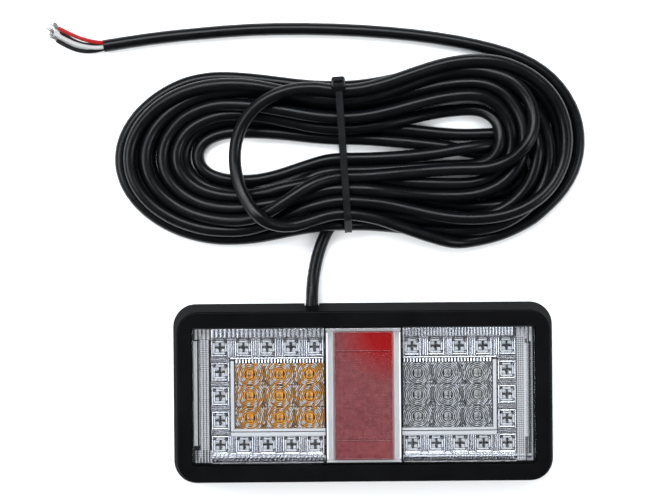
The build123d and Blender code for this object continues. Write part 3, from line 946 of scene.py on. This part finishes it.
def panel_frame():
    """Walls that stand on the pale backing along the red panel's sides."""
    shape = Shape()
    y0, y1 = backing_low[1] + 0.4, backing_high[1] - 0.4
    for side in (-1, 1):
        for x, width, rise in ((reflex_high[0] + 0.9, 0.5, 3.6), (backing_high[0] - 0.6, 0.7, 4.4)):
            x *= side
            base = backing_low[2] + 1.3
            shape.block(x - width / 2, x + width / 2, y0, y1, base, base + rise, 0.2)
    for s in (-1, 1):
        low, high = sorted((s * (backing_high[1] + 0.15), s * (WINDOW_Y - 0.5)))
        shape.block(-backing_high[0], backing_high[0], low, high, TRAY_TOP, TRAY_TOP + 2.6, 0.3)
    shape.piece("panel_frame", white_plastic, "white_plastic")


# ---------------------------------------------------------------- lamp: red reflector
def red_reflector_material():
    """Red prismatic plastic: brighter and paler flecks, and painted light, a deeper red towards one corner
    where the prisms catch the light.
    """
    n = Nodes("red_reflector")
    fine = n.noise(420.0, 2.0)
    broad = n.noise(22.0, 2.0)
    deep = n.blend(n.spread(broad, 0.0, 1.0), (0.26, 0.055, 0.060), (0.34, 0.080, 0.086))
    mix = n.add("ShaderNodeMix", data_type="RGBA")
    n.link(n.spread(fine, 0.0, 0.45), mix.inputs["Factor"])
    n.link(deep, mix.inputs["A"])
    mix.inputs["B"].default_value = (0.58, 0.16, 0.16, 1)
    # Painted light: the colour turns deeper red towards the panel's upper right corner, for the light its
    # prisms catch there.
    corner = n.add("ShaderNodeVectorMath", operation="DISTANCE")
    n.link(n.place, corner.inputs[0])
    corner.inputs[1].default_value = (reflex_high[0] * MM, reflex_high[1] * MM, reflex_high[2] * MM)
    near = n.add("ShaderNodeMapRange")
    near.inputs["From Min"].default_value = 0.012
    near.inputs["From Max"].default_value = 0.028
    near.inputs["To Min"].default_value = 1.0
    near.inputs["To Max"].default_value = 0.0
    n.link(corner.outputs["Value"], near.inputs["Value"])
    painted_corner_light = n.add("ShaderNodeMix", data_type="RGBA")
    n.link(near.outputs["Result"], painted_corner_light.inputs["Factor"])
    n.link(mix.outputs["Result"], painted_corner_light.inputs["A"])
    painted_corner_light.inputs["B"].default_value = (0.50, 0.008, 0.010, 1)
    n.link(painted_corner_light.outputs["Result"], n.shader.inputs["Base Color"])
    n.link(n.spread(n.noise(260.0), 0.22, 0.34), n.shader.inputs["Roughness"])
    n.shader.inputs["Coat Weight"].default_value = 0.5
    n.bump(fine, 0.3, 0.00008)
    return n.material


def reflex_reflector():
    """Red panel: zigzag prisms across the middle, seams, plain bands and a row of small studs."""
    shape = Shape()
    x0, y0, z0 = reflex_low
    x1, y1, z1 = reflex_high
    face = z1 - 0.6
    shape.block(x0, x1, y0, y1, z0, face)
    band, column, row, rise, zig = 10.4, 1.2, 0.55, 0.4, 0.35
    columns = int((x1 - x0 - 0.8) / column)
    rows = int((y1 - y0 - 2 * band) / row)
    left, bottom = -columns * column / 2, -rows * row / 2
    top, under, faces = [], [], []
    for j in range(rows + 1):
        for i in range(columns + 1):
            y = bottom + j * row + (zig if i % 2 else -zig)
            top.append((left + i * column, y, face + (rise if j % 2 == 0 else 0.05)))
            under.append((left + i * column, y, face - 0.1))
    wide = columns + 1
    for j in range(rows):
        for i in range(columns):
            a = j * wide + i
            faces.append((a, a + 1, a + wide + 1, a + wide))
    rim = list(range(wide)) + [j * wide + columns for j in range(1, rows + 1)]
    rim += [rows * wide + i for i in range(columns - 1, -1, -1)] + [j * wide for j in range(rows - 1, 0, -1)]
    start = len(top)
    for k in range(len(rim)):
        after = (k + 1) % len(rim)
        faces.append((rim[after], rim[k], start + k, start + after))
    faces.append(tuple(start + k for k in range(len(rim) - 1, -1, -1)))
    shape.add(top + [under[k] for k in rim], faces)
    for y in (bottom - 0.6, -bottom + 0.6):
        shape.sweep(half_round(y, 0.3, face, 0.5, 6), x0 + 0.4, x1 - 0.4, "x")
    for y in (y0 + 0.5, y1 - 0.5):
        shape.sweep(half_round(y, 0.4, face, 0.5, 6), x0 + 0.2, x1 - 0.2, "x")
    for x in (x0 + 0.4, x1 - 0.4):
        shape.sweep(half_round(x, 0.35, face, 0.5, 6), y0 + 0.2, y1 - 0.2, "y")
    for k in range(6):
        pillow(shape, (k - 2.5) * 4.5, 0.0, 0.55, 0.45, face + 0.35, 0.25, 3)
    piece = shape.piece("red_panel", red_reflector_material(), "red_reflector")
    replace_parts(piece, "reflex_reflector")


def finish(material, *names):
    for name in names:
        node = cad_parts[name]
        node.data.materials.clear()
        node.data.materials.append(material)


finish(black_plastic, "rear_housing")
finish(bezel_plastic, "front_bezel")
finish(seal_rubber, "lens_seal", "cable_grommet")
finish(clear_cover, "outer_lens")
finish(board_laminate, "circuit_board")
finish(amber_led, "turn_leds")
finish(clear_led, "stop_leds", "tail_leds_left", "tail_leds_right")
finish(ceramic_chip, "resistors")
finish(chip_plastic, "regulator_chips", "input_diodes", "cable_clamp")
finish(screw_steel, "board_screws", "clamp_screws")
finish(metallised, "left_reflector_tray", "right_reflector_tray")
finish(white_plastic, "reflector_backing")
finish(lead_cores, "inner_leads")
array_optic(-1, "turn_ring_lenses", "turn_optic", amber_optic, "amber_optic")
array_optic(1, "stop_ring_lenses", "stop_optic", clear_optic, "clear_optic")
tail_optic(-1, "tail_cushions_left", "tail_optic_left")
tail_optic(1, "tail_cushions_right", "tail_optic_right")
array_cups(-1, "turn_cups")
array_cups(1, "stop_cups")
ring_edges(-1, "turn_ring_edges")
ring_edges(1, "stop_ring_edges")
ring_glints(-1, "turn_ring_glints")
ring_glints(1, "stop_ring_glints")
for side, word in ((-1, "left"), (1, "right")):
    tail_frames(side, f"tail_frames_{word}")
    tail_glints(side, f"tail_glints_{word}")
    tail_crosses(side, f"tail_crosses_{word}")
    margin_ribs(side, f"tray_ribs_{word}")
    pale_marks(side, f"tray_marks_{word}")
    margin_painted_shade(side, f"tray_gaps_{word}")
cover_prisms()
array_borders()
panel_frame()
reflex_reflector()


# ---------------------------------------------------------------- cable tie
TIE_MIDDLE = 126.1  # half way along the strap, across the hank
TIE_SLANT = math.radians(3.5)
TIE_ALONG = np.array([-math.sin(TIE_SLANT), math.cos(TIE_SLANT), 0.0])
TIE_ACROSS = np.array([math.cos(TIE_SLANT), math.sin(TIE_SLANT), 0.0])
TIE_CENTRE = np.array([TIE_X, TIE_MIDDLE, 0.0])
TIE_REACH = 50.0  # the cable's free end passes further out than this
TIE_STEPS = 120
TIE_HEAD = 33.6  # the head's place along the strap from its middle
# The strap's section, (across, out): a flat band with a shallow groove along its outer face.
STRAP = [(-1.85, 0.2), (-1.65, 0.0), (1.65, 0.0), (1.85, 0.2), (1.85, 0.95), (1.62, 1.15), (1.05, 1.15)]
STRAP += [(0.85, 1.0), (-0.85, 1.0), (-1.05, 1.15), (-1.62, 1.15), (-1.85, 0.95)]


def tie_crossings(line):
    """Where the cable passes through the tie, in millimetres: along the tie, and up."""
    offset = (line - TIE_CENTRE) @ TIE_ACROSS
    places = []
    for k in np.flatnonzero(offset[:-1] * offset[1:] < 0):
        share = offset[k] / (offset[k] - offset[k + 1])
        place = line[k] + share * (line[k + 1] - line[k]) - TIE_CENTRE
        if place @ TIE_ALONG < TIE_REACH:
            places.append((place @ TIE_ALONG, place[2]))
    return np.array(places)


def tie_outline(places):
    """The strap's inner line, pulled tight round the bundle, and the way out at each of its points."""
    outline = []
    for k in range(TIE_STEPS):
        angle = 2 * math.pi * (k + 0.5) / TIE_STEPS
        way = np.array([math.cos(angle), math.sin(angle)])
        outermost = places[np.argmax(places @ way)]
        outline.append((outermost + (CABLE_R / MM + 0.03) * way, way))
    return outline


def tie_point(along, up, across=0.0):
    return TIE_CENTRE + along * TIE_ALONG + across * TIE_ACROSS + np.array([0.0, 0.0, up])


def tie_strap(outline):
    shape = Shape()
    vertices, faces, count = [], [], len(STRAP)
    for inner, way in outline:
        for across, out in STRAP:
            along, up = inner + out * way
            vertices.append(tie_point(along, max(up, 0.0), across))
    total = len(outline) * count
    for ring in range(len(outline)):
        for k in range(count):
            a, b = ring * count + k, ring * count + (k + 1) % count
            faces.append((b, a, (a + count) % total, (b + count) % total))
    shape.add(vertices, faces)
    return shape.piece("tie_strap", tie_nylon, "tie_nylon")


def tie_head(outline):
    """The head: a rounded block with a slot, where the strap's trimmed end stands out."""
    above = [(inner, way) for inner, way in outline if way[1] > 0.15]
    inner, way = min(above, key=lambda item: abs(item[0][0] - TIE_HEAD))
    tangent = np.array([way[1], -way[0]])

    def ring(half_width, half_length, out, corner, shift=0.0):
        """A round-cornered outline at this height over the strap's inner line."""
        points = []
        for i, j, start in ((1, 1, 0), (-1, 1, 1), (-1, -1, 2), (1, -1, 3)):
            for step in (0.0, 0.5, 1.0):
                turn = math.pi / 2 * (start + step)
                across = i * (half_width - corner) + corner * math.cos(turn)
                place = j * (half_length - corner) + corner * math.sin(turn) + shift
                along, up = inner + out * way + place * tangent
                points.append(tie_point(along, max(up, 0.05), across))
        return points

    shape = Shape()
    levels = [(2.9, 3.0, 0.1, 0.5), (3.45, 3.5, 0.9, 0.9), (3.45, 3.5, 3.4, 0.9), (3.0, 3.05, 4.2, 0.8)]
    levels += [(2.1, 1.15, 4.2, 0.2), (2.0, 1.05, 2.6, 0.2)]
    shape.lathe_rings([ring(*level) for level in levels])
    stub = [(1.75, 0.55, 2.5, 0.15), (1.75, 0.55, 4.9, 0.15), (1.6, 0.4, 5.2, 0.15)]
    shape.lathe_rings([ring(*level) for level in stub])
    for across in (-3.3, 3.3):
        rail = [(0.22, 2.6, out, 0.1) for out in (1.2, 3.1)]
        rings = [[p + across * TIE_ACROSS for p in ring(*level)] for level in rail]
        shape.lathe_rings(rings)
    return shape.piece("tie_head", tie_nylon, "tie_nylon")


# ---------------------------------------------------------------- conductors
CORE_R = 1.05 * MM
TIP_STRANDS = 9
STRAND_R = 0.2
TIP_LENGTH = 5.6
CORE_ROUTES = {
    "red": [
        (-0.1290, 0.1856, 0.0046),
        (-0.1350, 0.1851, 0.0048),
        (-0.1400, 0.1856, 0.0052),
        (-0.1470, 0.1874, 0.0056),
        (-0.1535, 0.1904, 0.0054),
        (-0.1586, 0.1930, 0.0050),
    ],
    "white": [
        (-0.1290, 0.1838, 0.0044),
        (-0.1350, 0.1829, 0.0044),
        (-0.1405, 0.1826, 0.0043),
        (-0.1480, 0.1840, 0.0041),
        (-0.1550, 0.1870, 0.0039),
        (-0.1610, 0.1906, 0.0036),
    ],
    "black": [
        (-0.1290, 0.1834, 0.0024),
        (-0.1350, 0.1823, 0.0022),
        (-0.1400, 0.1810, 0.0020),
        (-0.1470, 0.1810, 0.0016),
        (-0.1540, 0.1834, 0.0014),
        (-0.1600, 0.1870, 0.0014),
    ],
    "brown": [
        (-0.1290, 0.1852, 0.0023),
        (-0.1350, 0.1846, 0.0022),
        (-0.1400, 0.1842, 0.0021),
        (-0.1470, 0.1849, 0.0018),
        (-0.1530, 0.1876, 0.0015),
        (-0.1580, 0.1916, 0.0014),
    ],
}


def strand(shape, points, radius, sides=6):
    """A thin wire along a short run of points, in millimetres."""
    rings = []
    for k, place in enumerate(points):
        way = points[min(k + 1, len(points) - 1)] - points[max(k - 1, 0)]
        way = way / np.linalg.norm(way)
        side = np.cross(way, (0.0, 0.0, 1.0))
        side = side / np.linalg.norm(side)
        up = np.cross(side, way)
        angles = [2 * math.pi * i / sides for i in range(sides)]
        rings.append([place + radius * (math.cos(a) * side + math.sin(a) * up) for a in angles])
    shape.lathe_rings(rings)


def bare_tips():
    """Nine tinned strands out of each conductor's cut end, loosely twisted and splayed."""
    shape = Shape()
    for number, route in enumerate(CORE_ROUTES.values()):
        before, end = np.array(route[-2]) / MM, np.array(route[-1]) / MM
        way = (end - before) / np.linalg.norm(end - before)
        side = np.array([-way[1], way[0], 0.0])
        up = np.array([0.0, 0.0, 1.0])
        for k in range(TIP_STRANDS):
            spot = 2.4 * k + number
            spread, curl = 0.18 * math.sqrt(k), 0.7 + 0.3 * math.sin(5.1 * k + number)
            points = []
            for step in range(8):
                t = step / 7
                turn = spot + 2.2 * t
                flare = spread * (1 + 0.9 * t * t)
                bend = curl * 1.1 * t * t * math.sin(1.7 * k + 2.3 * number)
                place = end - way + (TIP_LENGTH * curl + 1.0) * t * way
                place = place + flare * (math.cos(turn) * side + math.sin(turn) * up) + bend * side
                place = place + 0.9 * t * t * np.array([0.5, 1.0, 0.0])
                place[2] = max(place[2], STRAND_R + 0.05)
                points.append(place)
            strand(shape, points, STRAND_R)
    return shape.piece("tinned_tips", tinned_copper, "tinned_copper", smooth=True)


def line_of(points, steps=3):
    """The quadratic spline's own line through a list of control points, in millimetres."""
    return smooth(np.array(points) / MM, steps)


cable_line = cable_points()
outline = tie_outline(tie_crossings(line_of(cable_line)))
strap = tie_strap(outline)
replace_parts(strap, "cable_tie_strap")
head = tie_head(outline)
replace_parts(head, "cable_tie_head")
tips = bare_tips()
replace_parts(tips, "conductor_tips")

cable = spline_piece("cable", cable_line, CABLE_R)
cable.data.materials.append(sheath)
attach(cable, "lamp")
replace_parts(cable, "cable_lead", "cable_hank", "cable_tail")
for (colour, route), core_length in zip(CORE_ROUTES.items(), (0.031, 0.034, 0.0325, 0.031)):
    core = spline_piece(f"core_{colour}", route, CORE_R, rings=6, resolution=8)
    core.data.materials.append(cores[colour])
    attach(core, "lamp")
    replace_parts(core, f"conductor_{colour}")


# ---------------------------------------------------------------- camera and light
VIEW_HEIGHT = 1.0
VIEW_POINT = (-0.0142, 0.0744)
VIEW_TILT = math.radians(-0.48)
VIEW_WIDTH = 0.3540  # what the frame takes in at the floor
TENT_LIGHT = 1.3
CARD_SHARE = 0.12  # how much of the tent's light the outer gloss sees


def add_camera():
    camera = bpy.data.cameras.new("camera")
    camera.sensor_width = 36.0
    camera.lens = 36.0 * VIEW_HEIGHT / VIEW_WIDTH
    holder = bpy.data.objects.new("camera", camera)
    holder.location = (*VIEW_POINT, VIEW_HEIGHT)
    holder.rotation_euler = (0, 0, VIEW_TILT)
    bpy.context.scene.collection.objects.link(holder)
    bpy.context.scene.camera = holder


def add_light(name, place, size, power):
    light = bpy.data.lights.new(name, "AREA")
    light.shape = "RECTANGLE"
    light.size, light.size_y = size
    light.energy = power
    light.color = (0.88, 0.94, 1.0)
    holder = bpy.data.objects.new(name, light)
    holder.location = place
    holder.rotation_euler = (Vector((0, 0.08, 0)) - Vector(place)).to_track_quat("-Z", "Y").to_euler()
    bpy.context.scene.collection.objects.link(holder)


def add_world():
    """A light tent, bright all round but for the camera's hole overhead. The gloss of what lies outside
    the lens sees it dimmer, as behind dark cards, so black plastic stays black."""
    world = bpy.data.worlds.new("world")
    bpy.context.scene.world = world
    world.use_nodes = True
    tree = world.node_tree
    place = tree.nodes.new("ShaderNodeTexCoord")
    split = tree.nodes.new("ShaderNodeSeparateXYZ")
    ramp = tree.nodes.new("ShaderNodeValToRGB")
    ramp.color_ramp.elements[0].position = 0.90
    ramp.color_ramp.elements[0].color = (1, 1, 1, 1)
    ramp.color_ramp.elements[1].position = 0.975
    ramp.color_ramp.elements[1].color = (0.12, 0.12, 0.12, 1)
    tree.links.new(place.outputs["Generated"], split.inputs[0])
    tree.links.new(split.outputs["Z"], ramp.inputs["Fac"])
    tree.links.new(ramp.outputs["Color"], tree.nodes["Background"].inputs["Color"])
    path = tree.nodes.new("ShaderNodeLightPath")
    inside = tree.nodes.new("ShaderNodeMath")
    inside.operation = "GREATER_THAN"
    tree.links.new(path.outputs["Transparent Depth"], inside.inputs[0])
    inside.inputs[1].default_value = 0.5
    outside = tree.nodes.new("ShaderNodeMath")
    outside.operation = "SUBTRACT"
    outside.use_clamp = True
    tree.links.new(path.outputs["Is Glossy Ray"], outside.inputs[0])
    tree.links.new(inside.outputs[0], outside.inputs[1])
    strength = tree.nodes.new("ShaderNodeMapRange")
    strength.inputs["To Min"].default_value = TENT_LIGHT
    strength.inputs["To Max"].default_value = TENT_LIGHT * CARD_SHARE
    tree.links.new(outside.outputs[0], strength.inputs["Value"])
    tree.links.new(strength.outputs["Result"], tree.nodes["Background"].inputs["Strength"])


def add_floor():
    bpy.ops.mesh.primitive_plane_add(size=6, location=(0, 0, 0))
    floor = bpy.context.object
    floor.name = "floor"
    floor.data.materials.append(simple("floor", (0.9, 0.9, 0.9), 0.9))


add_camera()
add_floor()
add_light("back", (-0.18, 0.66, 0.90), (1.1, 0.4), 14)
add_light("left", (-0.85, 0.1, 0.75), (0.5, 0.5), 5)
add_light("right", (0.85, -0.1, 0.8), (0.5, 0.5), 4)
add_world()
bpy.context.scene.view_settings.view_transform = "Standard"
bpy.context.scene.cycles.transparent_max_bounces = 24
